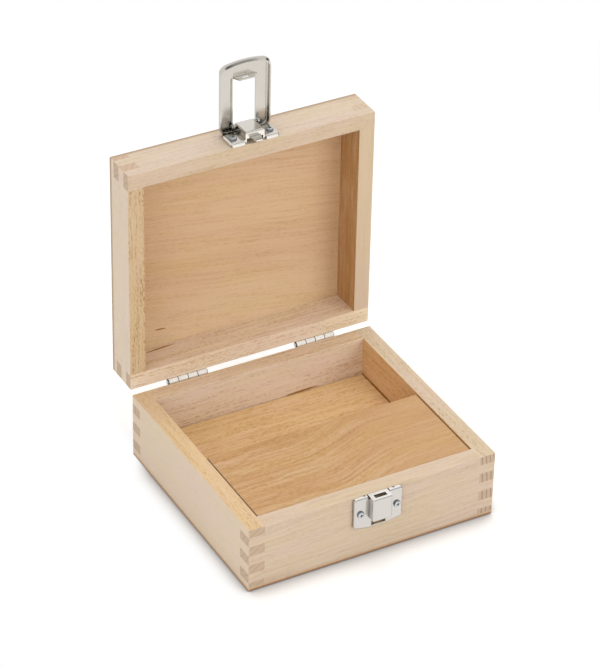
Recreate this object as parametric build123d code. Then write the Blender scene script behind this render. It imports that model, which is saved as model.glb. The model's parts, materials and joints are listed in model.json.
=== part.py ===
from build123d import *
import os

# Micrometer case: a finger-jointed beech box, two stop hinges and a loop latch.
# Millimetres. X runs to the right, Y to the back, Z up. The origin is the centre of the
# base's underside. The case stands open: the lid is upright and the loop stands off it.

# Case
case_width = 157.0
case_depth = 144.0
wall = 10.0
panel = 3.0
base_wall_height = 39.6
lid_wall_height = 20.7
finger = 6.2            # height of one finger of the corner joints
least_finger = 1.0      # the last finger before a panel is never thinner
saw_kerf = 1.6          # the box is glued up whole, then sawn apart at a finger's edge
corner_ease = 0.8       # rounding of the four upright corners
rim_ease = 0.4          # rounding along the sawn rims
panel_ease = 1.2        # rounding of the panels' outer edges

# Inside of the base
floor_board = 14.3
floor_clearance = 0.4
cover_thickness = 6.0
cover_depth = 60.2
cover_below_rim = 0.3
cover_side_clearance = 0.9
cover_front_clearance = 0.3
cover_ease = 0.5
cover_overhang = 4.0    # lip beyond the divider, to lift the cover by
divider_thickness = 6.0
ledge_width = 6.0
ledge_thickness = 6.0

# Hinges
hinge_spacing = 84.0
hinge_width = 25.0
hinge_leaf = 0.95
hinge_leaf_height = 15.0
hinge_leaf_corner = 1.0
hinge_pin_radius = 1.0
hinge_running = 0.05    # radial clearance of each knuckle on the pin
knuckle_count = 4
knuckle_gap = 0.15
leaf_notch = 0.3        # clearance of a leaf's notch around the other leaf's knuckle
hinge_stop_reach = 1.9  # how far the stop reaches past the knuckle
hinge_pin_head_radius = 1.4
hinge_pin_head = 0.4
hinge_screw_spacing = 14.0
hinge_screw_height = 10.0
contact_gap = 0.05      # between surfaces that meet only at the end of a travel
rim_gap = 0.1           # between the rims of the closed case

# Wood screws
screw_radius = 1.1
screw_length = 8.0
screw_clearance = 0.05
countersunk_radius = 2.2
pan_head_radius = 2.1
pan_head_height = 1.3
recess_width = 0.6
recess_span = 2.2
recess_depth = 0.7

# Latch, shared by the catch plate, the latch plate and the loop
latch_offset = 1.7      # the latch sits slightly right of the middle
sheet = 0.8
plate_width = 31.0
plate_off_wood = 2.5
plate_to_rim = 0.4
plate_corner = 2.0
plate_bend = 1.5
plate_screw_spacing = 23.2
seam_width = 0.4        # where two folded edges of a plate meet at a corner
seam_length = 1.6
seam_height = 1.7

# Catch plate on the base
catch_height = 20.2     # at the corners; the lower edge is arched
catch_arch = 2.2
catch_screw_drop = 11.0
keeper_width = 12.4
keeper_height = 15.4
keeper_off_wood = 7.0
keeper_bend = 1.2
keeper_corner = 1.5
opening_width = 9.2     # hole left in the plate below the keeper pressed out of it
opening_height = 5.2
slot_width = 7.5
slot_off_wood = 2.4
slot_depth = 2.8
relief_width = 0.8
relief_height = 1.7
rim_notch_places = (-8.5, 10.0)
rim_notch_width = 1.3
rim_notch_height = 1.1

# Latch plate on the lid
wing_height = 12.0
latch_screw_rise = 5.7
bridge_width = 12.0
bridge_start = 1.5
bridge_off_wood = 7.0
bridge_past_pin = 1.5
bridge_bend = 1.4
wing_gap = 0.8          # beside the bridge's near end
nose_root_width = 7.2
nose_tip_width = 4.0
nose_reach = 3.8        # how far the nose passes the rim, into the keeper
nose_off_wood = 3.0

# Loop
pivot_rise = 13.5
pivot_off_wood = 5.3
latch_pin_radius = 0.8
latch_pin_running = 0.05
latch_pin_head_radius = 1.4
latch_pin_head = 0.6
loop_end_clearance = 0.15
loop_ear_radius = 1.7
loop_width = 31.8
loop_reach = 43.2       # pivot to the far end, before its edge is rounded
loop_over_keeper = 0.2
loop_depth = 3.2        # of the turned-down rim, face included
loop_end_slant = 3.7    # how far the far end leans out between its free edge and the face
loop_face_bulge = 0.3   # arch of the far end at the face
loop_rim_bulge = 2.8    # arch of the far end at its free edge
loop_far_corner = 5.0
loop_near_corner = 5.0
loop_bend = 1.3
window_width = 14.6
window_flange = 0.7
hook_clearance = 0.4    # lets the hook swing in under the keeper
hook_off_wood = 3.0
hook_tip_width = 9.2
hook_slot_width = 4.5
hook_slot_height = 1.6

# Worked-out places
base_height = panel + base_wall_height
lid_height = lid_wall_height + panel
lid_rim = base_height + rim_gap
half_width = case_width / 2
half_depth = case_depth / 2
inner_half_width = half_width - wall
inner_half_depth = half_depth - wall
floor_top = panel + floor_board
cover_top = base_height - cover_below_rim
cover_underside = cover_top - cover_thickness
cover_front = -inner_half_depth + cover_front_clearance
cover_back = cover_front + cover_depth
knuckle_radius = hinge_pin_radius + hinge_running + hinge_leaf
hinge_y = half_depth + knuckle_radius
hinge_z = base_height + rim_gap / 2
hinge_bore = hinge_pin_radius + hinge_running
hinge_centres = (-hinge_spacing / 2, hinge_spacing / 2)
hinge_screw_offsets = (-hinge_screw_spacing / 2, hinge_screw_spacing / 2)
hinge_axis = Axis((0, hinge_y, hinge_z), (1, 0, 0))
lid_opening = -90
keeper_bottom = -plate_to_rim - keeper_height
window_far = keeper_bottom - hook_clearance
window_near = pivot_rise + bridge_past_pin
loop_off_wood = keeper_off_wood + loop_over_keeper + sheet
loop_far = pivot_rise - loop_reach
loop_near = pivot_rise + pivot_off_wood - 2 * contact_gap
loop_raised = -90
catch_frame = Location(Plane((latch_offset, -half_depth, base_height), (1, 0, 0), (0, -1, 0)))
latch_frame = Location(Plane((latch_offset, -half_depth, lid_rim), (1, 0, 0), (0, -1, 0)))
latch_pin_bore = latch_pin_radius + latch_pin_running
pivot_axis = Axis((0, pivot_rise, pivot_off_wood), (1, 0, 0))


def block(x0, x1, y0, y1, z0, z1):
    """A box between two corners."""
    centre = Pos((x0 + x1) / 2, (y0 + y1) / 2, (z0 + z1) / 2)
    return centre * Box(x1 - x0, y1 - y0, z1 - z0)


def edges_at(shape, axis, place):
    """The edges that lie wholly at one place along an axis."""
    return shape.edges().filter_by_position(axis, place - 0.01, place + 0.01)


def crosswise(radius, x0, x1, y=0.0, z=0.0):
    """A round bar along X."""
    return Location(((x0 + x1) / 2, y, z), (0, 90, 0)) * Cylinder(radius, x1 - x0)


def drill(radius, start, end, frame=Location()):
    """A round bar along the frame's Z, for a hole."""
    length = end - start
    return frame * Pos(0, 0, start + length / 2) * Cylinder(radius, length)


# Carcass

def joint_levels(height):
    """Distances from the rim at which a corner joint changes from one wall to the other."""
    levels = [0.0, finger - saw_kerf / 2]
    while levels[-1] + finger + least_finger < height:
        levels.append(levels[-1] + finger)
    return levels + [height]


def joint_cells(height, first):
    """The spans, measured from the rim, of every second finger."""
    levels = joint_levels(height)
    return list(zip(levels[first:-1:2], levels[first + 1::2]))


def ring(rim, far):
    """The four walls as one glued ring, with its outer corners and its rim eased."""
    low, high = sorted((rim, far))
    solid = block(-half_width, half_width, -half_depth, half_depth, low, high)
    solid = fillet(solid.edges().filter_by(Axis.Z), corner_ease)
    solid -= block(-inner_half_width, inner_half_width, -inner_half_depth, inner_half_depth, low, high)
    return fillet(edges_at(solid, Axis.Z, rim), rim_ease)


def front_or_back(ring_solid, side, cells, rim, direction):
    """A front or back wall: the full width, less the side walls' fingers."""
    low, high = sorted((side * half_depth, side * inner_half_depth))
    far = ring_solid.bounding_box()
    solid = ring_solid & block(-half_width, half_width, low, high, far.min.Z, far.max.Z)
    for start, end in cells:
        z0, z1 = sorted((rim + direction * start, rim + direction * end))
        for left, right in ((-half_width, -inner_half_width), (inner_half_width, half_width)):
            solid -= block(left, right, low, high, z0, z1)
    return solid


def left_or_right(ring_solid, side, cells, rim, direction):
    """A side wall: the full depth, less the front and back walls' fingers."""
    low, high = sorted((side * half_width, side * inner_half_width))
    far = ring_solid.bounding_box()
    solid = ring_solid & block(low, high, -half_depth, half_depth, far.min.Z, far.max.Z)
    for start, end in cells:
        z0, z1 = sorted((rim + direction * start, rim + direction * end))
        for near, back in ((-half_depth, -inner_half_depth), (inner_half_depth, half_depth)):
            solid -= block(low, high, near, back, z0, z1)
    return solid


def walls(name, rim, height, direction, sides_first):
    """Four walls from the rim away; sides_first says whose finger meets the rim."""
    ring_solid = ring(rim, rim + direction * height)
    side_cells = joint_cells(height, 0 if sides_first else 1)
    front_cells = joint_cells(height, 1 if sides_first else 0)
    return {
        name + "_front_wall": front_or_back(ring_solid, -1, side_cells, rim, direction),
        name + "_back_wall": front_or_back(ring_solid, 1, side_cells, rim, direction),
        name + "_left_wall": left_or_right(ring_solid, -1, front_cells, rim, direction),
        name + "_right_wall": left_or_right(ring_solid, 1, front_cells, rim, direction),
    }


def outer_panel(low, outer_face):
    """A plywood panel glued flush over the walls, its outer edge rounded."""
    solid = block(-half_width, half_width, -half_depth, half_depth, low, low + panel)
    solid = fillet(solid.edges().filter_by(Axis.Z), corner_ease)
    return fillet(edges_at(solid, Axis.Z, outer_face), panel_ease)


# Inside of the base

def floor():
    """The thick floor board, laid on the bottom panel between the walls."""
    half_x = inner_half_width - floor_clearance
    half_y = inner_half_depth - floor_clearance
    return block(-half_x, half_x, -half_y, half_y, panel, floor_top)


def divider():
    """The upright board that closes the front compartment and carries the cover."""
    back = cover_back - cover_overhang
    return block(-inner_half_width, inner_half_width, back - divider_thickness, back,
                 floor_top, cover_underside)


def ledge():
    """The strip along the front wall that carries the cover's front edge."""
    return block(-inner_half_width, inner_half_width, -inner_half_depth, -inner_half_depth + ledge_width,
                 cover_underside - ledge_thickness, cover_underside)


def cover():
    """The loose board over the front compartment."""
    half_x = inner_half_width - cover_side_clearance
    solid = block(-half_x, half_x, cover_front, cover_back, cover_underside, cover_top)
    return fillet(edges_at(solid, Axis.Z, cover_top), cover_ease)


# Screws, driven along -Z from the surface z = 0

def cross_recess(top):
    """The cross cut into a screw's head."""
    depth = (top - recess_depth, top)
    bar = block(-recess_span / 2, recess_span / 2, -recess_width / 2, recess_width / 2, *depth)
    return bar + Rot(Z=90) * bar


def countersunk_screw():
    head = Pos(0, 0, -hinge_leaf / 2) * Cone(screw_radius, countersunk_radius, hinge_leaf)
    return head + drill(screw_radius, -screw_length, -hinge_leaf) - cross_recess(0)


def countersunk_hole():
    clear = screw_clearance
    return Pos(0, 0, -hinge_leaf / 2) * Cone(screw_radius + clear, countersunk_radius + clear, hinge_leaf)


def pan_head_screw():
    head = drill(pan_head_radius, 0, pan_head_height)
    head = fillet(edges_at(head, Axis.Z, pan_head_height), pan_head_height * 0.7)
    return head + drill(screw_radius, -screw_length, 0) - cross_recess(pan_head_height)


def pilot_hole():
    return drill(screw_radius + screw_clearance, -screw_length - screw_clearance, 0)


# Hinges, modelled closed about their own axis

def hinge_screw_frames(side):
    """Frames of the screws through the base's leaves (side -1) or the lid's (side 1)."""
    z = hinge_z + side * hinge_screw_height
    face = half_depth + hinge_leaf
    across_x = [x + dx for x in hinge_centres for dx in hinge_screw_offsets]
    return [Location((x, face, z), (-90, 0, 0)) for x in across_x]


def knuckle_spans(first):
    """The stretches along the pin that belong to one leaf."""
    pitch = hinge_width / knuckle_count
    starts = [-hinge_width / 2 + pitch * i for i in range(first, knuckle_count, 2)]
    return [(s + knuckle_gap / 2, s + pitch - knuckle_gap / 2) for s in starts]


def hinge_leaf_solid(first):
    """A leaf that hangs from its knuckles on the wood's face, with its screw holes."""
    wood = -knuckle_radius
    notch = -knuckle_radius - leaf_notch
    half = hinge_width / 2 - knuckle_gap / 2
    solid = block(-half, half, wood, wood + hinge_leaf, -hinge_leaf_height, notch)
    lower = edges_at(solid, Axis.Z, -hinge_leaf_height).filter_by(Axis.Y)
    solid = fillet(lower, hinge_leaf_corner)
    for start, end in knuckle_spans(first):
        solid += block(start, end, wood, wood + hinge_leaf, notch, 0)
        solid += crosswise(knuckle_radius, start, end)
    for x in hinge_screw_offsets:
        solid -= Location((x, wood + hinge_leaf, -hinge_screw_height), (-90, 0, 0)) * countersunk_hole()
    return solid - crosswise(hinge_bore, -hinge_width / 2, hinge_width / 2)


def hinge_base_leaf():
    return hinge_leaf_solid(0)


def hinge_lid_leaf():
    """The lid's leaf, with the stops that meet the base's leaf when the lid is upright."""
    solid = mirror(hinge_leaf_solid(1), Plane.XY)
    bearing = knuckle_radius - hinge_leaf - contact_gap
    reach = knuckle_radius + hinge_stop_reach
    for start, end in knuckle_spans(1):
        stop = block(start, end, 0, reach, -bearing, -bearing + hinge_leaf)
        solid += stop - crosswise(hinge_bore, start, end)
    return solid


def hinge_pin():
    """The pin, with a low head on each end just outside the knuckles."""
    half = hinge_width / 2
    solid = crosswise(hinge_pin_radius, -half, half)
    for side in (-1, 1):
        low, high = sorted((side * half, side * (half + hinge_pin_head)))
        solid += crosswise(hinge_pin_head_radius, low, high)
    return solid


# Latch, modelled closed in a frame on the wood: X across, Y up from the rim, Z off the wood

def dish(low, high, arch, inset):
    """A shallow pressed dish, its low edge arched outwards, set in all round by an amount."""
    half = plate_width / 2 - inset
    low, high = low + inset, high - inset
    depth = plate_off_wood - inset
    sides = Polyline((-half, low), (-half, high), (half, high), (half, low))
    if arch:
        edge = ThreePointArc((half, low), (0, low - arch), (-half, low))
    else:
        edge = Line((half, low), (-half, low))
    face = make_face([sides, edge])
    face = fillet(face.vertices(), plate_corner - inset / 2)
    solid = extrude(face, depth, dir=(0, 0, 1))
    return fillet(edges_at(solid, Axis.Z, depth), plate_bend - inset / 2)


def plate_shell(low, high, arch=0.0):
    """A hollow plate that stands on its turned-down edges."""
    return dish(low, high, arch, 0) - dish(low, high, arch, sheet)


def seam(side, y, angle):
    """The open seam at a plate's corner, cut outwards along a diagonal."""
    corner = Location((side * plate_width / 2, y, seam_height / 2), (0, 0, angle))
    return corner * Box(2 * seam_length, seam_width, seam_height)


def plate_screws(y):
    """Frames of a plate's two screws, on its face."""
    half = plate_screw_spacing / 2
    return [Location((x, y, plate_off_wood)) for x in (-half, half)]


def plate_holes(y):
    """The screw holes through a plate's face."""
    return [drill(screw_radius + screw_clearance, -sheet, 0, frame) for frame in plate_screws(y)]


def keeper():
    """The box pressed out of the catch plate, its lower corners rounded."""
    half = keeper_width / 2
    solid = block(-half, half, keeper_bottom, -plate_to_rim, 0, keeper_off_wood)
    upright = solid.edges().filter_by(Axis.Z)
    solid = fillet(upright.sort_by(Axis.Y)[:2], keeper_corner)
    return fillet(edges_at(solid, Axis.Z, keeper_off_wood).sort_by(Axis.Y)[-3:], keeper_bend)


def catch_plate():
    """The catch: a dished plate and a box keeper that is open below and slotted above."""
    top = -plate_to_rim
    half = keeper_width / 2
    hollow = block(-half + sheet, half - sheet, keeper_bottom, top - sheet, 0, keeper_off_wood - sheet)
    opening = block(-opening_width / 2, opening_width / 2, keeper_bottom - opening_height,
                    keeper_bottom, 0, plate_off_wood)
    solid = plate_shell(top - catch_height, top, catch_arch)
    solid += keeper() - block(-half, half, keeper_bottom, top - sheet, 0, plate_off_wood - sheet)
    solid -= hollow + opening
    solid -= block(-slot_width / 2, slot_width / 2, top - 2 * sheet, top,
                   slot_off_wood, slot_off_wood + slot_depth)
    for side in (-1, 1):
        low, high = sorted((side * half, side * (half + relief_width)))
        solid -= block(low, high, top - relief_height, top, 0, plate_off_wood)
        solid -= seam(side, top, side * 45)
    for notch in rim_notch_places:
        solid -= block(notch - rim_notch_width / 2, notch + rim_notch_width / 2,
                       top - sheet, top, 0, rim_notch_height)
    for hole in plate_holes(-catch_screw_drop):
        solid -= hole
    return solid


def bridge():
    """The raised bridge: two cheeks that carry the pin, a face, a folded near end and a nose."""
    half = bridge_width / 2
    end = pivot_rise + bridge_past_pin
    solid = block(-half, half, bridge_start, end, 0, bridge_off_wood)
    solid = fillet(edges_at(solid, Axis.Z, bridge_off_wood), bridge_bend)
    solid -= block(-half + sheet, half - sheet, bridge_start + sheet, end, 0, bridge_off_wood - sheet)
    solid -= block(-half + sheet, half - sheet, bridge_start, bridge_start + sheet, 0, nose_off_wood)
    solid -= block(-half, half, plate_to_rim + wing_height, end, 0, plate_off_wood)
    return solid + nose()


def nose():
    """The tapered tongue at the bridge's near end, which enters the keeper's slot."""
    root, tip = nose_root_width / 2, nose_tip_width / 2
    outline = [(-root, bridge_start + sheet), (root, bridge_start + sheet), (root, bridge_start),
               (tip, -nose_reach), (-tip, -nose_reach), (-root, bridge_start)]
    return Pos(0, 0, nose_off_wood) * extrude(Polygon(*outline, align=None), sheet, dir=(0, 0, 1))


def latch_plate():
    """The lid's plate: two dished wings, joined by the bridge between them."""
    low = plate_to_rim
    high = plate_to_rim + wing_height
    half = bridge_width / 2
    between = block(-half + sheet, half - sheet, 0, high, 0, plate_off_wood)
    notch = block(-half - wing_gap, half + wing_gap, 0, bridge_start, 0, plate_off_wood)
    wings = plate_shell(low, high) - between - notch
    wings -= seam(-1, low, 45) + seam(1, low, -45)
    for hole in plate_holes(latch_screw_rise):
        wings -= hole
    return wings + bridge() - crosswise(latch_pin_bore, -half, half, pivot_rise, pivot_off_wood)


def latch_pin():
    """The pin through the bridge's cheeks and the loop's ears, headed at both ends."""
    half = window_width / 2 + sheet + loop_end_clearance
    solid = crosswise(latch_pin_radius, -half, half, pivot_rise, pivot_off_wood)
    for side in (-1, 1):
        low, high = sorted((side * half, side * (half + latch_pin_head)))
        solid += crosswise(latch_pin_head_radius, low, high, pivot_rise, pivot_off_wood)
    return solid


def loop_outline(inset, rise):
    """The loop's outline at a height above its free edge: square near end, arched far end."""
    half = loop_width / 2
    free = 1 - rise / loop_depth
    far = loop_far + loop_end_slant * free
    shoulder = far + loop_face_bulge + (loop_rim_bulge - loop_face_bulge) * free
    near = Polyline((-half, shoulder), (-half, loop_near), (half, loop_near), (half, shoulder))
    face = make_face([near, ThreePointArc((half, shoulder), (0, far), (-half, shoulder))])
    face = fillet(face.vertices().sort_by(Axis.Y)[:2], loop_far_corner)
    face = fillet(face.vertices().sort_by(Axis.Y)[-2:], loop_near_corner)
    face = offset(face, -inset) if inset else face
    return Pos(0, 0, loop_off_wood - loop_depth + rise) * face


def loop_solid(inset, bend):
    """The loop as a solid lump, set in by an amount, its face edge rounded."""
    lump = loft([loop_outline(inset, 0), loop_outline(inset, loop_depth - inset)], ruled=True)
    return fillet(edges_at(lump, Axis.Z, loop_off_wood - inset), bend)


def loop_ear(side):
    """A tab turned down beside the bridge, round the pin."""
    low, high = sorted((side * window_width / 2, side * (window_width / 2 + sheet)))
    near, far = pivot_rise - loop_ear_radius, pivot_rise + loop_ear_radius
    tab = block(low, high, near, far, pivot_off_wood, loop_off_wood - sheet / 2)
    tab += crosswise(loop_ear_radius, low, high, pivot_rise, pivot_off_wood)
    return tab - crosswise(latch_pin_bore, low, high, pivot_rise, pivot_off_wood)


def hook():
    """The lip turned in at the window's far end, which catches below the keeper."""
    top = loop_off_wood - sheet / 2
    root = window_width / 2
    points = [(-root, top), (root, top), (hook_tip_width / 2, hook_off_wood),
              (-hook_tip_width / 2, hook_off_wood)]
    lip = extrude(Plane.XZ * Polygon(*points, align=None), sheet, dir=(0, -1, 0))
    slot_middle = (hook_off_wood + loop_off_wood - sheet) / 2
    slot = Pos(0, -sheet / 2, slot_middle) * Box(hook_slot_width, 2 * sheet, hook_slot_height)
    return Pos(0, window_far, 0) * (lip - slot)


def latch_loop():
    """The loop in its latched place, over the bridge and the keeper."""
    half = window_width / 2
    inner_face = loop_off_wood - sheet
    solid = loop_solid(0, loop_bend) - loop_solid(sheet, loop_bend - sheet / 2)
    for side in (-1, 1):
        low, high = sorted((side * half, side * (half + sheet)))
        solid += block(low, high, window_far, window_near, inner_face - window_flange, inner_face)
        solid += loop_ear(side)
    solid -= block(-half, half, window_far, window_near, 0, loop_off_wood)
    return solid + hook()


# Assembly

def raise_loop(shape):
    """Swings the loop from latched to standing off the lid."""
    return shape.rotate(pivot_axis, loop_raised)


def open_lid(shape):
    """Swings a piece of the closed lid to its upright place."""
    return shape.rotate(hinge_axis, lid_opening)


def base_nodes():
    nodes = walls("base", base_height, base_wall_height, -1, True)
    nodes["base_bottom_panel"] = outer_panel(0, 0)
    nodes["compartment_floor"] = floor()
    nodes["compartment_divider"] = divider()
    nodes["cover_ledge"] = ledge()
    nodes["catch_plate"] = catch_frame * catch_plate()
    screws = [catch_frame * frame for frame in plate_screws(-catch_screw_drop)]
    nodes["catch_screws"] = Compound([frame * pan_head_screw() for frame in screws])
    for frame in screws:
        nodes["base_front_wall"] -= frame * pilot_hole()
    nodes["hinge_base_screws"] = Compound([frame * countersunk_screw() for frame in hinge_screw_frames(-1)])
    for frame in hinge_screw_frames(-1):
        nodes["base_back_wall"] -= frame * pilot_hole()
    for name, x in zip(("left_hinge", "right_hinge"), hinge_centres):
        place = Pos(x, hinge_y, hinge_z)
        nodes[name + "_base_leaf"] = place * hinge_base_leaf()
        nodes[name + "_pin"] = place * hinge_pin()
    return nodes


def closed_lid_nodes():
    nodes = walls("lid", lid_rim, lid_wall_height, 1, False)
    nodes["lid_top_panel"] = outer_panel(lid_rim + lid_wall_height, lid_rim + lid_height)
    nodes["latch_plate"] = latch_frame * latch_plate()
    nodes["latch_pin"] = latch_frame * latch_pin()
    screws = [latch_frame * frame for frame in plate_screws(latch_screw_rise)]
    nodes["latch_plate_screws"] = Compound([frame * pan_head_screw() for frame in screws])
    for frame in screws:
        nodes["lid_front_wall"] -= frame * pilot_hole()
    nodes["hinge_lid_screws"] = Compound([frame * countersunk_screw() for frame in hinge_screw_frames(1)])
    for frame in hinge_screw_frames(1):
        nodes["lid_back_wall"] -= frame * pilot_hole()
    for name, x in zip(("left_hinge", "right_hinge"), hinge_centres):
        nodes[name + "_lid_leaf"] = Pos(x, hinge_y, hinge_z) * hinge_lid_leaf()
    nodes["latch_loop"] = latch_frame * raise_loop(latch_loop())
    return nodes


def main():
    os.makedirs("parts", exist_ok=True)
    nodes = base_nodes()
    nodes["compartment_cover"] = cover()
    for name, shape in closed_lid_nodes().items():
        nodes[name] = open_lid(shape)
    for name, shape in nodes.items():
        export_step(shape, "parts/" + name + ".step")


main()
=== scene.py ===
import json
import math

import bpy
from mathutils import Matrix, Vector

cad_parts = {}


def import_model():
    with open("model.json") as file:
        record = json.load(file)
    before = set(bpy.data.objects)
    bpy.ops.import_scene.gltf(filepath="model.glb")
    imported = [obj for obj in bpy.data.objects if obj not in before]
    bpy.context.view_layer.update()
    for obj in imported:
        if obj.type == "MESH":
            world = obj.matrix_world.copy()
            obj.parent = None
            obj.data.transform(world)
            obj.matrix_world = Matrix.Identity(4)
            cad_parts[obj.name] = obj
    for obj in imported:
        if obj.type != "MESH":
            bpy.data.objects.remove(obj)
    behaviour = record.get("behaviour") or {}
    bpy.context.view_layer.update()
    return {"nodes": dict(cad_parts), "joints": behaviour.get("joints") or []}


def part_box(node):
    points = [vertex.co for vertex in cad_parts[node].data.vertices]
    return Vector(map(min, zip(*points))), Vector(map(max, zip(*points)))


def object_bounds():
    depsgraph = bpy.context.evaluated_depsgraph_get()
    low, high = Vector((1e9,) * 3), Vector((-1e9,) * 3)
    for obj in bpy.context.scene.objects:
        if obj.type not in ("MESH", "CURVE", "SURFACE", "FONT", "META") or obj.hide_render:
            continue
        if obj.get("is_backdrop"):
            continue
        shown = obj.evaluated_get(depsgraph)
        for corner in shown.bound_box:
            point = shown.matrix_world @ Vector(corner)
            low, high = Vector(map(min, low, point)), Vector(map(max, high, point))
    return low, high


# Looks of the micrometer case: beech boards, nickel latch and hinges, zinc screws.
# Metres. Every material is made of nodes, in the object's own coordinates.

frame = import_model()


# Colours

def rgb(red, green, blue):
    """A colour from 0 to 255 in sRGB, as the shader's linear RGBA."""
    def linear(value):
        value /= 255
        return value / 12.92 if value <= 0.04045 else ((value + 0.055) / 1.055) ** 2.4
    return (linear(red), linear(green), linear(blue), 1.0)


def scaled(colour, factor):
    return tuple(min(channel * factor, 1.0) for channel in colour[:3]) + (1.0,)


BLACK = (0.0, 0.0, 0.0, 1.0)
WHITE = (1.0, 1.0, 1.0, 1.0)


# Node helpers: a value that is a socket is linked, any other value is set

def put(socket, value):
    if isinstance(value, bpy.types.NodeSocket):
        socket.id_data.links.new(value, socket)
    else:
        socket.default_value = value


def add(tree, kind, inputs=(), **settings):
    """A node with its inputs, given by name or in order, and its settings."""
    made = tree.nodes.new("ShaderNode" + kind)
    for name, value in settings.items():
        setattr(made, name, value)
    pairs = inputs.items() if isinstance(inputs, dict) else enumerate(inputs)
    for key, value in pairs:
        put(made.inputs[key], value)
    return made


def maths(tree, operation, *values, clamp=False):
    return add(tree, "Math", values, operation=operation, use_clamp=clamp).outputs[0]


def times(tree, product, *factors):
    for factor in factors:
        product = maths(tree, "MULTIPLY", product, factor)
    return product


def times_plus(tree, value, factor, rest):
    """value * factor + rest."""
    return maths(tree, "MULTIPLY_ADD", value, factor, rest)


def minus(tree, value, less):
    return maths(tree, "SUBTRACT", value, less)


def vector(tree, operation, *values):
    return add(tree, "VectorMath", values, operation=operation).outputs[0]


def length(tree, arrow):
    return add(tree, "VectorMath", [arrow], operation="LENGTH").outputs["Value"]


def split(tree, place):
    """The X, Y and Z of a place."""
    return add(tree, "SeparateXYZ", [place]).outputs


def own_place(tree):
    """Where a point is on the object: metres of the frame, which move with the piece."""
    return add(tree, "TexCoord").outputs["Object"]


def noise(tree, place, rate, detail=2.0, roughness=0.5):
    """Noise from 0 to 1; rate is cycles per metre along each of the place's axes."""
    inputs = {"Vector": vector(tree, "MULTIPLY", place, rate), "Scale": 1.0,
              "Detail": detail, "Roughness": roughness}
    return add(tree, "TexNoise", inputs).outputs[0]


def steps(tree, value, low, high, to_low=0.0, to_high=1.0):
    """A smooth step of a value between low and high."""
    inputs = {"Value": value, "From Min": low, "From Max": high,
              "To Min": to_low, "To Max": to_high}
    return add(tree, "MapRange", inputs, interpolation_type="SMOOTHSTEP").outputs[0]


def fall(tree, value, low, high, left=0.0):
    """A smooth step down from 1, at low, to what is left, at high."""
    return steps(tree, value, low, high, 1.0, left)


def blend(tree, factor, first, second, mode="MIX"):
    """A colour between two, or their product where the mode is MULTIPLY."""
    made = tree.nodes.new("ShaderNodeMix")
    made.data_type = "RGBA"
    made.blend_type = mode
    colour_inputs = [socket for socket in made.inputs if socket.type == "RGBA"]
    put(made.inputs[0], factor)
    for socket, colour in zip(colour_inputs, (first, second)):
        put(socket, colour)
    return next(socket for socket in made.outputs if socket.type == "RGBA")


def new_material(name):
    material = bpy.data.materials.new(name)
    material.use_nodes = True
    material.node_tree.nodes.clear()
    return material, material.node_tree


def finish_material(tree, shader):
    add(tree, "OutputMaterial", {"Surface": shader.outputs[0]})


def give(node, material):
    """Puts a material on a CAD node, in place of its own."""
    mesh = frame["nodes"][node].data
    mesh.materials.clear()
    mesh.materials.append(material)


# Masks: 1 on a part of a surface. A look is an axis and its sign.

UPWARD, DOWNWARD = (2, 1), (2, -1)
FORWARD, BACKWARD = (1, -1), (1, 1)
LEFTWARD, RIGHTWARD = (0, -1), (0, 1)
LOOK_EDGES = (0.6, 0.9)
SPOT_EDGES = (0.2, 1.0)


def facing(tree, axis, sign):
    """1 on faces that look along one axis."""
    normal = add(tree, "TexCoord").outputs["Normal"]
    return steps(tree, times(tree, split(tree, normal)[axis], sign), *LOOK_EDGES)


def within(tree, parts, limits):
    """1 inside a box, given as (axis, low, high) limits."""
    inside = 1.0
    for axis, low, high in limits:
        above = maths(tree, "GREATER_THAN", parts[axis], low)
        below = maths(tree, "LESS_THAN", parts[axis], high)
        inside = times(tree, above, below, inside)
    return inside


def spot(tree, parts, look, middle, slope, half_length, half_width):
    """A soft-edged thin ellipse on one face, round the middle, which is (axis, place) twice.

    It lies along the first axis, and rises by slope along the second."""
    run, rise = [minus(tree, parts[axis], place) for axis, place in middle]
    rise = maths(tree, "DIVIDE", times_plus(tree, run, -slope, rise), half_width)
    run = maths(tree, "DIVIDE", run, half_length)
    reach = times_plus(tree, run, run, times(tree, rise, rise))
    return times(tree, fall(tree, reach, *SPOT_EDGES), facing(tree, *look))


def recoloured(tree, parts, tone, faces):
    """A tone with faces of another colour, each given as (colour, limits, look). The boards and
    the metal use it to paint light and shade on some faces.
    """
    for colour, limits, look in faces:
        mask = within(tree, parts, limits) if limits else 1.0
        if look:
            mask = times(tree, facing(tree, *look), mask)
        tone = blend(tree, mask, tone, colour)
    return tone


# Wood. Its patterns are noise, in cycles per metre along the grain and twice across it.

GRAIN_ORDER = {"X": (0, 1, 2), "Y": (1, 0, 2), "Z": (2, 0, 1)}
SEED_SHIFT = (0.37, 0.53, 0.71)
SLOW_WANDER = (13.0, 30.0, 30.0)
QUICK_WANDER = (95.0, 70.0, 70.0)
BAND_RATE = (9.0, 110.0, 110.0)
LINE_RATE = (22.0, 600.0, 600.0)
RAY_RATE = (380.0, 1800.0, 1800.0)
HUE_RATE = (16.0, 80.0, 80.0)
PORE_RATE = (2600.0, 2600.0, 2600.0)

# From which value to which a pattern sets in or dies out; a third value is what is left of it
RAY_EDGES = (0.46, 0.62)
RAY_LOSS = (0.36, 0.62, 0.25)
HUE_EDGES = (0.38, 0.62)
PORE_EDGES = (0.35, 0.75)
END_EDGES = (0.55, 0.85)
RING_END = (0.70, 1.0)
STRIPE_START = (0.45, 0.85)
STRIPE_END = (0.85, 1.0)

# What the patterns are on average, and how strong they are
NOISE_MEAN = 0.5
RAY_MEAN = 0.2
RING_MEAN = 0.33
GRAIN_GAIN = 2.2
DARK_GAIN = 1.5
SPOT_DEPTH = 0.75

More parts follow.
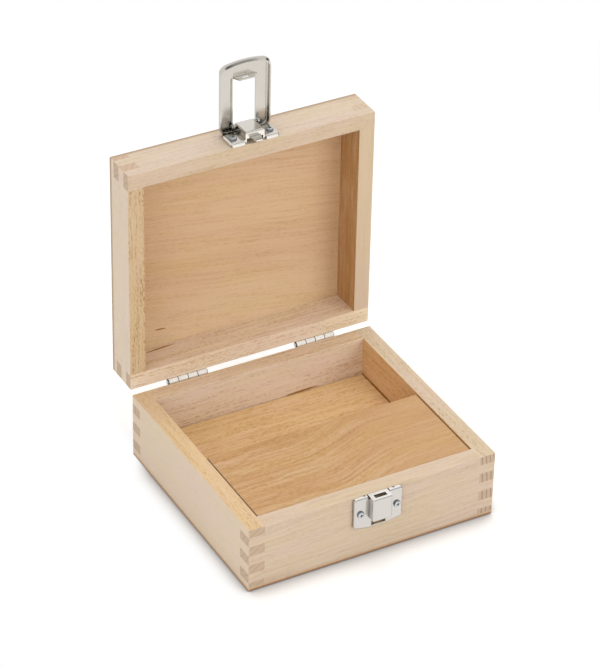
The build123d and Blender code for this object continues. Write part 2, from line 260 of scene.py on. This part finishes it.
END = rgb(206, 179, 153)
DARK_GRAIN = rgb(184, 145, 80)
LIGHT_GRAIN = rgb(255, 246, 232)
COOL_HUE = (1.0, 0.985, 1.03, 1.0)
WARM_HUE = (1.0, 1.0, 0.96, 1.0)
PORE_SHADE = 0.80
STRIPE_SHADE = 0.45

# Relief in metres, the shares of the patterns in it, and how they change the roughness
WOOD_RELIEF = 0.00006
LINE_HEIGHT, RAY_DEPTH, PORE_HEIGHT = 0.5, 0.6, 0.8
BAND_ROUGHNESS = 0.16
END_ROUGHNESS = 0.15


def grain_place(tree, parts, grain, seed, lean, turn, wave, ripple):
    """The place with the grain first, shifted so that no two boards match, and unshifted.

    lean turns the fibres out of the board's length, and turn lets them climb from one place
    along the board to another. wave and ripple let them wander, slowly and quickly."""
    along, across, up = [parts[i] for i in GRAIN_ORDER[grain]]
    across = times_plus(tree, along, lean[0], across)
    up = times_plus(tree, along, lean[1], up)
    if turn:
        start, end, climb = turn
        across = minus(tree, across, steps(tree, along, start, end, 0.0, climb))
    ordered = add(tree, "CombineXYZ", [along, across, up]).outputs[0]
    shifted = vector(tree, "ADD", ordered, tuple(shift * seed for shift in SEED_SHIFT))
    slow = minus(tree, noise(tree, shifted, SLOW_WANDER), NOISE_MEAN)
    quick = minus(tree, noise(tree, shifted, QUICK_WANDER, detail=1.0), NOISE_MEAN)
    bend = times_plus(tree, quick, ripple, times(tree, slow, wave))
    shift = add(tree, "CombineXYZ", [0.0, bend, bend]).outputs[0]
    return vector(tree, "ADD", shifted, shift), vector(tree, "ADD", ordered, shift)


def growth_rings(tree, ordered, spacing, pith):
    """Rings round a pith that lies along the grain: 0 to 1 within each ring."""
    along, across, up = split(tree, ordered)
    across = maths(tree, "ADD", across, pith[0])
    up = maths(tree, "ADD", up, pith[1])
    squares = maths(tree, "ADD", times(tree, across, across), times(tree, up, up))
    return maths(tree, "FRACT", maths(tree, "DIVIDE", maths(tree, "SQRT", squares), spacing))


def end_grain(tree, grain):
    """1 where the surface cuts across the grain."""
    normal = add(tree, "TexCoord").outputs["Normal"]
    turned = maths(tree, "ABSOLUTE", split(tree, normal)[GRAIN_ORDER[grain][0]])
    return steps(tree, turned, *END_EDGES)


def ray_flecks(tree, place, line):
    """Short flecks, fewer where the fine lines are strong."""
    flecks = steps(tree, noise(tree, place, RAY_RATE, detail=1.0), *RAY_EDGES)
    return times(tree, flecks, fall(tree, line, *RAY_LOSS))


def grain_shade(tree, rings, broad, line, dash, ring_depth, bands, lines, flecks):
    """How much the grain lightens a board, or darkens it where this is below 0."""
    late = minus(tree, times(tree, rings, rings), RING_MEAN)
    late = times(tree, late, fall(tree, rings, *RING_END))
    shade = times(tree, minus(tree, broad, NOISE_MEAN), GRAIN_GAIN * bands)
    shade = times_plus(tree, minus(tree, line, NOISE_MEAN), GRAIN_GAIN * lines, shade)
    shade = times_plus(tree, late, -ring_depth, shade)
    return times_plus(tree, minus(tree, dash, RAY_MEAN), -flecks, shade)


def grain_colour(tree, place, tone, shade):
    """A board's tone under its grain, which also turns its hue a little."""
    dark = maths(tree, "MULTIPLY", shade, -DARK_GAIN, clamp=True)
    light = maths(tree, "MULTIPLY", shade, 1.0, clamp=True)
    hue = steps(tree, noise(tree, place, HUE_RATE), *HUE_EDGES)
    tone = blend(tree, 1.0, tone, blend(tree, hue, COOL_HUE, WARM_HUE), "MULTIPLY")
    surface = blend(tree, dark, tone, blend(tree, 1.0, tone, DARK_GRAIN, "MULTIPLY"))
    return blend(tree, light, surface, LIGHT_GRAIN)


def cut_colour(tree, rings, pores, colour, depth):
    """End grain: pores, and a darker stripe in each ring."""
    cut = blend(tree, steps(tree, pores, *PORE_EDGES), colour, scaled(colour, PORE_SHADE))
    stripe = times(tree, steps(tree, rings, *STRIPE_START), fall(tree, rings, *STRIPE_END))
    return blend(tree, times(tree, stripe, depth), cut, scaled(colour, STRIPE_SHADE))


def wood(name, grain, seed, colour, end_colour=END, pith=(0.03, -0.06), lean=(0.0, 0.0),
         turn=None, wave=0.004, ripple=0.0008, ring=0.0034, ring_depth=0.05, bands=0.08,
         lines=0.10, flecks=0.20, end_lines=0.25, faces=(), calm=(), fade=None, drift=None,
         spots=(), roughness=0.52):
    """Beech: rings, bands, fine lines, short dark ray flecks and darker end grain.

    faces recolours parts of a board: on the walls its tones are painted light and shade,
    lighter or darker copies of the board's tone by how light falls on each face, partly also
    the wood's own tone. drift is painted light: one face turns lighter along an axis. calm
    keeps a share of the pattern on the faces of one look, fade weakens it from one place
    along the grain to another, and spots darkens small marks: a flaw, and dark joint lines
    that are partly painted shade in their gaps."""
    material, tree = new_material(name)
    parts = split(tree, own_place(tree))
    place, ordered = grain_place(tree, parts, grain, seed, lean, turn, wave, ripple)
    tone = recoloured(tree, parts, colour, faces)
    if drift:
        look, axis, start, end, other = drift
        mask = times(tree, fall(tree, parts[axis], start, end), facing(tree, *look))
        tone = blend(tree, mask, tone, other)

    rings = growth_rings(tree, ordered, ring, pith)
    broad = noise(tree, place, BAND_RATE, 3.0, 0.6)
    line = noise(tree, place, LINE_RATE, 3.0, 0.7)
    dash = ray_flecks(tree, place, line)
    shade = grain_shade(tree, rings, broad, line, dash, ring_depth, bands, lines, flecks)
    for look, share in calm:
        shade = times(tree, fall(tree, facing(tree, *look), 0.0, 1.0, share), shade)
    if fade:
        shade = times(tree, fall(tree, parts[GRAIN_ORDER[grain][0]], *fade), shade)
    for mark in spots:
        shade = times_plus(tree, spot(tree, parts, *mark), -SPOT_DEPTH, shade)
    across_grain = end_grain(tree, grain)
    shade = times(tree, shade, minus(tree, 1.0, across_grain))
    pores = noise(tree, place, PORE_RATE, 2.0, 0.7)
    surface = blend(tree, across_grain, grain_colour(tree, place, tone, shade),
                    cut_colour(tree, rings, pores, end_colour, end_lines))

    height = times_plus(tree, line, LINE_HEIGHT, times(tree, dash, -RAY_DEPTH))
    height = times_plus(tree, pores, times(tree, across_grain, PORE_HEIGHT), height)
    bump = add(tree, "Bump", {"Strength": 0.3, "Distance": WOOD_RELIEF, "Height": height})
    rough = times_plus(tree, broad, BAND_ROUGHNESS, roughness - BAND_ROUGHNESS / 2)
    rough = times_plus(tree, across_grain, END_ROUGHNESS, rough)
    shader = add(tree, "BsdfPrincipled", {"Base Color": surface, "Roughness": rough,
                                          "Normal": bump.outputs[0], "Specular IOR Level": 0.35})
    finish_material(tree, shader)
    return material


# Plywood: a board whose edge shows its plies

SPECKLE_RATE = (900.0, 900.0, 900.0)
SPECKLE_TINT = rgb(150, 105, 75)
SPECKLE_STRENGTH = 0.5


def ply_stripes(tree, depth, colours):
    """Stripes of equal depth, in these colours."""
    ramp = add(tree, "ValToRGB", {"Fac": depth})
    ramp.color_ramp.interpolation = "CONSTANT"
    elements = ramp.color_ramp.elements
    while len(elements) < len(colours):
        elements.new(0.5)
    for i, colour in enumerate(colours):
        elements[i].position = i / len(colours)
        elements[i].color = colour
    return ramp.outputs[0]


def plywood(node, name, grain, seed, colour, axis, ply_colours, **looks):
    """A veneer face like wood, with darker stripes along the edges, from low to high."""
    material = wood(name, grain, seed, colour, **looks)
    tree = material.node_tree
    shader = next(made for made in tree.nodes if made.type == "BSDF_PRINCIPLED")
    face = shader.inputs["Base Color"].links[0].from_socket
    place = own_place(tree)
    low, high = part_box(node)
    plies = ply_stripes(tree, steps(tree, split(tree, place)[axis], low[axis], high[axis]),
                        ply_colours)
    speckle = noise(tree, place, SPECKLE_RATE, 3.0, 0.7)
    plies = blend(tree, times(tree, speckle, SPECKLE_STRENGTH), plies,
                  blend(tree, 1.0, plies, SPECKLE_TINT, "MULTIPLY"))
    flat = maths(tree, "ADD", facing(tree, axis, 1), facing(tree, axis, -1))
    put(shader.inputs["Base Color"], blend(tree, minus(tree, 1.0, flat), face, plies))
    return material


# Metal. Its patterns are noise, in cycles per metre.

CLOUD_RATE = (90.0, 90.0, 90.0)
PIT_RATE = (1500.0, 1500.0, 1500.0)
STREAK_ACROSS, STREAK_ALONG = 2600.0, 40.0
PIT_EDGES = (0.66, 0.78)
CLOUD_SHADE, STREAK_SHADE = 0.72, 0.6
CLOUD_ROUGHNESS = 0.10

# Relief in metres, and the shares of the pits and the streaks in it
METAL_RELIEF = 0.00002
PIT_DEPTH, STREAK_HEIGHT = 0.5, 4

# Painted shade: the metal is darkened in corners, and wider near a foot's axis.
CORNER_SHADE_TINT = rgb(28, 22, 18)
CORNER_EDGES = (0.15, 0.75)         # of the open air over a point, where the corner gets painted shade
CORNER_STRENGTH = 0.85
FOOT_REACH = (0.006, 0.010)         # from its axis, where the wider painted shade of the corners ends
WIDE_CORNERS = 0.006
KNUCKLE_EDGE = (0.0021, 0.0023)     # from the hinge's axis, where its knuckles end
LINE_EDGES = (0.45, 0.48)           # of half a knuckle, where the line to the next one starts
# painted shade in the gaps between knuckles
GAP_SHADE_TINT = rgb(40, 34, 30)
RIM_START, RIM_END = (0.78, 0.98), (1.5, 1.6)       # in radii of the head
# painted shade round each screw head, over its edge and the plate just round it
RIM_SHADE_TINT = rgb(60, 64, 68)
RIM_STRENGTH = 0.55


def off_axis(tree, plain, axis):
    """The distance from an axis along X, given by its Y and Z."""
    away = vector(tree, "SUBTRACT", plain, (0.0, *axis))
    return length(tree, vector(tree, "MULTIPLY", away, (0.0, 1.0, 1.0)))


def corner_shade(tree, corners):
    """How dark the painted shade in the corners is, where other surfaces are nearer than that
    distance.
    """
    open_air = add(tree, "AmbientOcclusion", {"Distance": corners}, samples=8).outputs["AO"]
    return steps(tree, open_air, *CORNER_EDGES, CORNER_STRENGTH, 0.0)


def joint_lines(tree, parts, start, pitch):
    """1 on the thin lines of painted shade in the gaps between knuckles, which follow one another
    along X.
    """
    turns = maths(tree, "DIVIDE", minus(tree, parts[0], start), pitch)
    off = maths(tree, "ABSOLUTE", minus(tree, maths(tree, "FRACT", turns), 0.5))
    return steps(tree, off, *LINE_EDGES)


def rim_ring(tree, plain, middle, radius):
    """1 on the round edge of a screw's head and the plate just round it, where painted shade
    goes.
    """
    reach = length(tree, vector(tree, "SUBTRACT", plain, middle))
    return times(tree, steps(tree, reach, *[radius * edge for edge in RIM_START]),
                 fall(tree, reach, *[radius * edge for edge in RIM_END]))


def metal(name, colour, roughness, cloud=0.10, streak_axis=2, streaks=0.04, seed=0.0,
          metallic=1.0, faces=(), corners=0.0012, foot=None, joints=None, rims=()):
    """Plated metal: slight clouds and drawn streaks in its colour and gloss.

    faces recolours some faces, as painted light: lighter faces and a painted highlight. The
    metal is darkened with painted shade where other surfaces are nearer than corners, and
    further out near the axis of a foot. joints gives the axis, start and pitch along X of the
    dark lines of painted shade in the gaps between knuckles, and the darker tone of the flat
    leaf beside them, so that the knuckles' lighter tone is painted light. rims are heads, each
    a middle and a radius, with a dark round edge of painted shade."""
    material, tree = new_material(name)
    plain = own_place(tree)
    parts = split(tree, plain)
    place = vector(tree, "ADD", plain, (seed, seed, seed))
    clouds = noise(tree, place, CLOUD_RATE, 3.0, 0.6)
    stretch = [STREAK_ALONG if axis == streak_axis else STREAK_ACROSS for axis in range(3)]
    drawn = noise(tree, place, stretch, 2.0, 0.6)
    pits = steps(tree, noise(tree, place, PIT_RATE), *PIT_EDGES)

    tint = blend(tree, times(tree, clouds, cloud * 2), colour, scaled(colour, CLOUD_SHADE))
    tint = blend(tree, times(tree, drawn, streaks * 2), tint, scaled(colour, STREAK_SHADE))
    tint = recoloured(tree, parts, tint, faces)
    if joints:
        axis, start, pitch, leaf = joints
        flat = steps(tree, off_axis(tree, plain, axis), *KNUCKLE_EDGE)
        tint = blend(tree, flat, tint, leaf)
    if foot:
        corners = steps(tree, off_axis(tree, plain, foot), *FOOT_REACH, WIDE_CORNERS, corners)
    tint = blend(tree, corner_shade(tree, corners), tint, CORNER_SHADE_TINT)
    if joints:
        lines = times(tree, joint_lines(tree, parts, start, pitch), minus(tree, 1.0, flat))
        tint = blend(tree, lines, tint, GAP_SHADE_TINT)
    for middle, radius in rims:
        ring = rim_ring(tree, plain, middle, radius)
        tint = blend(tree, times(tree, ring, RIM_STRENGTH), tint, RIM_SHADE_TINT)

    rough = times_plus(tree, clouds, CLOUD_ROUGHNESS, roughness - CLOUD_ROUGHNESS / 2)
    rough = times_plus(tree, drawn, streaks, rough)
    height = times_plus(tree, pits, -PIT_DEPTH, times(tree, drawn, streaks * STREAK_HEIGHT))
    bump = add(tree, "Bump", {"Strength": 0.25, "Distance": METAL_RELIEF, "Height": height})
    shader = add(tree, "BsdfPrincipled", {"Base Color": tint, "Metallic": metallic,
                                          "Roughness": rough, "Normal": bump.outputs[0]})
    finish_material(tree, shader)
    return material


# The insides of the two boxes, up to the inner faces of their walls

SKIN = 0.0002


def between(axis, low_node, high_node):
    """The limits along an axis from one wall's inner face to the other's, and a skin more."""
    return axis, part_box(low_node)[1][axis] - SKIN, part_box(high_node)[0][axis] + SKIN


BASE_INSIDE = [between(0, "base_left_wall", "base_right_wall"),
               between(1, "base_front_wall", "base_back_wall")]
LID_INSIDE = [between(0, "lid_left_wall", "lid_right_wall"),
              between(2, "lid_back_wall", "lid_front_wall")]


# Boards of the base

PALE = rgb(212, 190, 165)
SMOOTH = rgb(220, 200, 175)
RIM = rgb(210, 185, 156)
# inner faces of the left walls: a darker, warmer copy of the tone, partly painted shade
INNER_SHADED = rgb(212, 172, 126)

# In the faces lists below, the rims (upward faces) and the inner faces get their own tones:
# painted light and shade, lighter or darker copies of the board's tone by how light falls on each
# face, partly also the wood's own tone.
give("base_front_wall", wood(
    "beech_base_front", "X", 1, PALE, lean=(0.0, -0.04), ripple=0.0018, flecks=0.10,
    lines=0.20, bands=0.06, faces=[(rgb(208, 187, 161), None, UPWARD)]))
give("base_back_wall", wood(
    "beech_base_back", "X", 2, PALE, lines=0.32, bands=0.06, flecks=0.28,
    calm=[(BACKWARD, 0.5)],
    # a dark joint line at the floor, partly painted shade in the gap
    spots=[(FORWARD, ((0, 0.0275), (2, 0.0178)), 0.03, 0.0135, 0.0009)],
    faces=[(rgb(214, 186, 154), None, UPWARD), (rgb(232, 213, 191), BASE_INSIDE, None)]))
give("base_left_wall", wood(
    "beech_base_left", "Y", 3, SMOOTH, lines=0.14, bands=0.04, flecks=0.24,
    pith=(0.2, -0.2), calm=[(LEFTWARD, 0.25)],
    faces=[(rgb(216, 186, 145), None, UPWARD), (INNER_SHADED, BASE_INSIDE, None)]))
give("base_right_wall", wood(
    "beech_base_right", "Y", 4, PALE, pith=(0.3, 0.0), ring=0.0028, lines=0.18,
    flecks=0.28, end_lines=0.75, calm=[(RIGHTWARD, 0.5)],
    # painted shadow: a dark line in the gap at the foot of the wall, by the floor
    spots=[(LEFTWARD, ((1, 0.028), (2, 0.0176)), 0.0, 0.060, 0.0008)],
    # its inner face darker and warmer, partly painted shade
    faces=[(rgb(207, 186, 159), None, UPWARD), (rgb(211, 170, 118), BASE_INSIDE, None)]))
give("compartment_floor", wood(
    "beech_floor", "X", 5, rgb(224, 187, 136), pith=(0.02, -0.05), wave=0.010,
    ripple=0.0026, lines=0.30, bands=0.14, flecks=0.26))
give("compartment_cover", wood(
    "beech_cover", "X", 6, rgb(193, 153, 106), pith=(0.0, -0.06),
    turn=(-0.020, 0.036, 0.015), wave=0.010, ripple=0.0014, fade=(-0.01, 0.05, 0.5),
    lines=0.24, bands=0.18, flecks=0.20))
give("compartment_divider", wood("beech_divider", "X", 7, RIM))
give("cover_ledge", wood("beech_ledge", "X", 8, RIM))
BASE_PLIES = [rgb(186, 140, 100), rgb(200, 158, 118), rgb(226, 200, 168)]
give("base_bottom_panel", plywood(
    "base_bottom_panel", "plywood_bottom", "X", 9, RIM, 2, BASE_PLIES))


# Boards of the lid

# In the faces lists below, the rims, the outer faces and the inner faces get their own tones:
# painted light and shade, lighter or darker copies of the board's tone by how light falls on each
# face, partly also the wood's own tone.
give("lid_front_wall", wood(
    "beech_lid_front", "X", 11, PALE, lines=0.13, flecks=0.14, bands=0.05, ripple=0.0018,
    faces=[(rgb(208, 189, 167), None, UPWARD), (rgb(215, 192, 164), None, FORWARD)]))
give("lid_back_wall", wood(
    "beech_lid_back", "X", 12, PALE, lines=0.30, bands=0.06, flecks=0.30,
    calm=[(DOWNWARD, 0.4)],
    # a dark joint line where the panel meets this wall, partly painted shade in the gap
    spots=[(UPWARD, ((0, -0.0515), (1, 0.0914)), 0.07, 0.0125, 0.0008)],
    faces=[(rgb(241, 220, 193), None, FORWARD), (rgb(226, 201, 173), LID_INSIDE, None)]))
give("lid_left_wall", wood(
    "beech_lid_left", "Z", 13, SMOOTH, lines=0.18, bands=0.05, flecks=0.45,
    calm=[(LEFTWARD, 0.25)],
    faces=[(rgb(221, 203, 181), None, LEFTWARD), (rgb(210, 181, 140), None, FORWARD),
           (INNER_SHADED, LID_INSIDE, None)]))
give("lid_right_wall", wood(
    "beech_lid_right", "Z", 14, PALE, end_colour=rgb(214, 191, 165), lines=0.30, bands=0.20,
    flecks=0.14, calm=[(FORWARD, 0.25), (RIGHTWARD, 0.5)],
    # its inner face darker and warmer, partly painted shade in the lid's recess
    faces=[(rgb(215, 192, 163), None, FORWARD), (rgb(175, 132, 83), LID_INSIDE, None)]))
LID_PLIES = [rgb(204, 182, 154), rgb(186, 160, 132), rgb(186, 168, 146)]
give("lid_top_panel", plywood(
    "lid_top_panel", "plywood_lid", "X", 15, rgb(217, 182, 142), 1, LID_PLIES,
    lean=(0.0, 0.16), lines=0.14, bands=0.10, flecks=0.12,
    # painted light: the panel is lighter towards its lower part, where the walls round it shade
    # it
    drift=(FORWARD, 2, 0.058, 0.105, rgb(229, 200, 161)),
    spots=[(FORWARD, ((0, -0.0489), (2, 0.0655)), -0.06, 0.0042, 0.0006)]))


# Latch

NICKEL = rgb(208, 203, 195)
AXES = {joint["name"]: tuple(joint["pos_m"][1:]) for joint in frame["joints"]
        if joint["type"] == "hinge"}
KEEPER_AXIS = (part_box("base_front_wall")[0].y - 0.002, 0.032)   # a little before the wall; the catch's painted shade reaches further round it
LOOP_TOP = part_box("latch_loop")[1].z
LOOP_LIP_HIGHLIGHT = [(2, LOOP_TOP - 0.015, LOOP_TOP - 0.007)]            # the lip in the loop's window, whose top gets a painted highlight

# Painted light: the catch's upward faces and the latch plate's front face are lighter, and the
# top of the loop's lip is a near-white painted highlight. Painted shade darkens the catch round
# the keeper's axis and the loop round its pivot.
give("catch_plate", metal(
    "nickel_catch", rgb(206, 203, 199), 0.16, seed=0.3, corners=0.0009, foot=KEEPER_AXIS,
    faces=[(rgb(238, 235, 230), None, UPWARD)]))
give("latch_plate", metal(
    "nickel_latch_plate", rgb(220, 215, 207), 0.14, seed=0.7, streak_axis=1,
    faces=[(rgb(234, 230, 223), None, FORWARD)]))
give("latch_loop", metal(
    "nickel_loop", NICKEL, 0.18, cloud=0.12, seed=1.3, foot=AXES["loop_pivot"],
    faces=[(rgb(255, 252, 246), LOOP_LIP_HIGHLIGHT, UPWARD)]))


# Hinges: four knuckles each, round the lid's axis

# The knuckles' near-white tone, lighter than the flat leaf of the same metal, is painted light;
# the dark lines between knuckles are painted shade.
HINGE = rgb(250, 248, 243)
LEAF = rgb(190, 187, 181)
KNUCKLES = 4
KNUCKLE_PITCH = 0.00625

for side in ("left", "right"):
    for place, leaf in enumerate(("_hinge_base_leaf", "_hinge_lid_leaf")):
        low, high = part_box(side + leaf)
        start = (low.x + high.x) / 2 - KNUCKLES / 2 * KNUCKLE_PITCH
        give(side + leaf, metal(
            "nickel_" + side + leaf, HINGE, 0.26, seed=2.1 + place, streak_axis=0,
            metallic=0.35, corners=0.0007,
            joints=(AXES["lid_hinge"], start, KNUCKLE_PITCH, LEAF)))


# Screws and pins

ZINC = rgb(212, 216, 220)
STEEL = rgb(190, 190, 188)
LATCH_HEAD, HINGE_HEAD = 0.0021, 0.0022                         # the radii of the heads
LATCH_X = (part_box("catch_screws")[0].x + LATCH_HEAD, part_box("catch_screws")[1].x - LATCH_HEAD)
HINGE_X = (-0.049, -0.035, 0.035, 0.049)


def heads(across, y, z, radius):
    """A row of screw heads: the middle of each, and its radius."""
    return [((x, y, z), radius) for x in across]


# each row of heads gets a ring of painted shade round every head
RIMS = {"catch_screws": heads(LATCH_X, -0.0753, 0.0316, LATCH_HEAD),
        "hinge_base_screws": heads(HINGE_X, 0.0729, AXES["lid_hinge"][1] - 0.010, HINGE_HEAD),
        "hinge_lid_screws": (),
        "latch_plate_screws": heads(LATCH_X, 0.0798, 0.1919, LATCH_HEAD)}

for place, (node, rims) in enumerate(RIMS.items()):
    give(node, metal("zinc_" + node, ZINC, 0.30, cloud=0.2, seed=5.2 + place, rims=rims))
for place, node in enumerate(("left_hinge_pin", "right_hinge_pin", "latch_pin")):
    give(node, metal("steel_" + node, STEEL, 0.28, seed=8.4 + place, streak_axis=0))


# Floor: white, with the object's soft shadow from the lamps, deepened near the object by painted
# shadow, and at its left covered by painted white

FLOOR_REACH = 8.0
FLOOR_DROP = 0.0002                 # below the bottom panel, so that the two don't touch
SHADOW_ENDS = (0.20, 0.55)          # from the middle, where the floor turns plain white
LEFT_ENDS = (-0.0905, -0.0765)      # the same at the left, along X: there the white is painted light over the object's shadow
LEFT_SHIFT = (0.045, 0.08, 0.0, 0.013)      # between these Y, the left end moves on by this X
FLOOR_PAINT = rgb(240, 240, 240)
FLOOR_GLOW = 0.2
FLOOR_ROUGHNESS, FLOOR_SPREAD = 0.8, 0.1
FLOOR_RATE = (400.0, 400.0, 400.0)
CONTACT_REACH = 0.016               # how near the object the floor gets painted shadow
CONTACT_LEVELS = (0.15, 0.95, 0.35, 1.0)    # from that much open air to that, the floor's share


def floor_white(tree, place):
    """1 where the floor is plain white: far from the object, and at its left, where the white is
    painted light over the object's shadow.
    """
    away = steps(tree, length(tree, place), *SHADOW_ENDS)
    across, along = split(tree, place)[:2]
    across = minus(tree, across, steps(tree, along, *LEFT_SHIFT))
    return maths(tree, "MAXIMUM", away, fall(tree, across, *LEFT_ENDS))


def floor_material():
    """White paint for the light, darkened near the object by painted shadow, and paint that fades
    to pure white for the eye.
    """
    material, tree = new_material("floor_white")
    place = own_place(tree)
    rough = times_plus(tree, noise(tree, place, FLOOR_RATE), FLOOR_SPREAD, FLOOR_ROUGHNESS)
    near = add(tree, "AmbientOcclusion", {"Distance": CONTACT_REACH}, samples=8).outputs["AO"]
    near = steps(tree, near, *CONTACT_LEVELS)
    paint = add(tree, "BsdfPrincipled", {"Base Color": blend(tree, near, BLACK, FLOOR_PAINT),
                                         "Roughness": rough})
    glow = add(tree, "Emission", {"Color": WHITE, "Strength": times(tree, near, FLOOR_GLOW)})
    lifted = add(tree, "AddShader", [paint.outputs[0], glow.outputs[0]])
    white = add(tree, "Emission", {"Color": WHITE, "Strength": 1.0})
    seen = add(tree, "MixShader", [floor_white(tree, place), lifted.outputs[0],
                                   white.outputs[0]])
    path = add(tree, "LightPath").outputs
    shown = maths(tree, "MAXIMUM", path["Is Camera Ray"], path["Is Glossy Ray"])
    finish_material(tree, add(tree, "MixShader", [shown, paint.outputs[0], seen.outputs[0]]))
    return material


def floor():
    """A flat square under the case."""
    mesh = bpy.data.meshes.new("floor")
    corners = [(x * FLOOR_REACH, y * FLOOR_REACH, 0.0)
               for x, y in ((-1, -1), (1, -1), (1, 1), (-1, 1))]
    mesh.from_pydata(corners, [], [(0, 1, 2, 3)])
    mesh.materials.append(floor_material())
    thing = bpy.data.objects.new("floor", mesh)
    bpy.context.scene.collection.objects.link(thing)
    thing.location.z = -FLOOR_DROP
    thing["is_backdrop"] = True


# World

SKY_TINT = (1.0, 0.99, 0.97, 1.0)
SKY_LEVELS = (-0.15, 0.75, 0.35, 0.75)      # from that height to that, the light's strength
# Each dark part: its direction, the cosines at its edge and its core, and its level
DARK_PARTS = [((0.392, -0.603, 0.695), 0.968, 0.991, 0.40),
              ((0.919, -0.335, 0.208), 0.930, 0.975, 0.04),
              ((0.144, -0.816, 0.559), 0.978, 0.992, 0.10)]


def world():
    """Soft grey light all round, a white room with dark parts in the metal, and plain white
    for the camera."""
    made = bpy.data.worlds.new("studio")
    made.use_nodes = True
    tree = made.node_tree
    tree.nodes.clear()
    path = add(tree, "LightPath").outputs
    direction = add(tree, "TexCoord").outputs["Generated"]
    sky = steps(tree, split(tree, direction)[2], *SKY_LEVELS)
    light = add(tree, "Background", {"Color": SKY_TINT, "Strength": sky})
    shine = 1.0
    for middle, edge, core, level in DARK_PARTS:
        toward = add(tree, "VectorMath", [direction, middle], operation="DOT_PRODUCT")
        shine = times(tree, fall(tree, toward.outputs["Value"], edge, core, level), shine)
    room = add(tree, "Background", {"Color": WHITE, "Strength": shine})
    white = add(tree, "Background", {"Color": WHITE, "Strength": 1.0})
    mixed = add(tree, "MixShader", [path["Is Glossy Ray"], light.outputs[0], room.outputs[0]])
    mixed = add(tree, "MixShader", [path["Is Camera Ray"], mixed.outputs[0], white.outputs[0]])
    add(tree, "OutputWorld", {"Surface": mixed.outputs[0]})
    bpy.context.scene.world = made


# Lamps and camera

LAMP_AIM = Vector((0.0, 0.0, 0.08))
CAMERA_PLACE = Vector((-0.745237, -1.315327, 1.129337))
CAMERA_AIM = Vector((-0.00544, 0.00643, 0.10241))
CAMERA_ROLL = math.radians(1.2375)
LENS_MM, SENSOR_MM = 176.58, 36.0


def lamp(name, place, size, watts, colour=(1.0, 1.0, 1.0)):
    """A square soft box that looks at the object and doesn't show in the metal."""
    data = bpy.data.lights.new(name, "AREA")
    data.shape = "SQUARE"
    data.size = size
    data.energy = watts
    data.color = colour
    thing = bpy.data.objects.new(name, data)
    thing.location = place
    thing.visible_glossy = False
    thing.rotation_euler = (LAMP_AIM - Vector(place)).to_track_quat("-Z", "Y").to_euler()
    bpy.context.scene.collection.objects.link(thing)


def camera():
    """A long lens from the front, left and above, turned a little about its own axis."""
    data = bpy.data.cameras.new("camera")
    data.lens = LENS_MM
    data.sensor_width = SENSOR_MM
    thing = bpy.data.objects.new("camera", data)
    level = (CAMERA_AIM - CAMERA_PLACE).to_track_quat("-Z", "Y").to_matrix().to_4x4()
    roll = Matrix.Rotation(CAMERA_ROLL, 4, "Z")
    thing.matrix_world = Matrix.Translation(CAMERA_PLACE) @ level @ roll
    bpy.context.scene.collection.objects.link(thing)
    bpy.context.scene.camera = thing


floor()
world()
lamp("key", (1.1, -1.8, 1.1), 1.2, 12.0, (1.0, 0.985, 0.96))
lamp("fill", (-1.9, -0.9, 0.9), 1.4, 11.0)
lamp("top", (0.35, 0.45, 2.2), 1.2, 16.0)
camera()
bpy.context.scene.view_settings.view_transform = "Standard"

low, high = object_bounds()
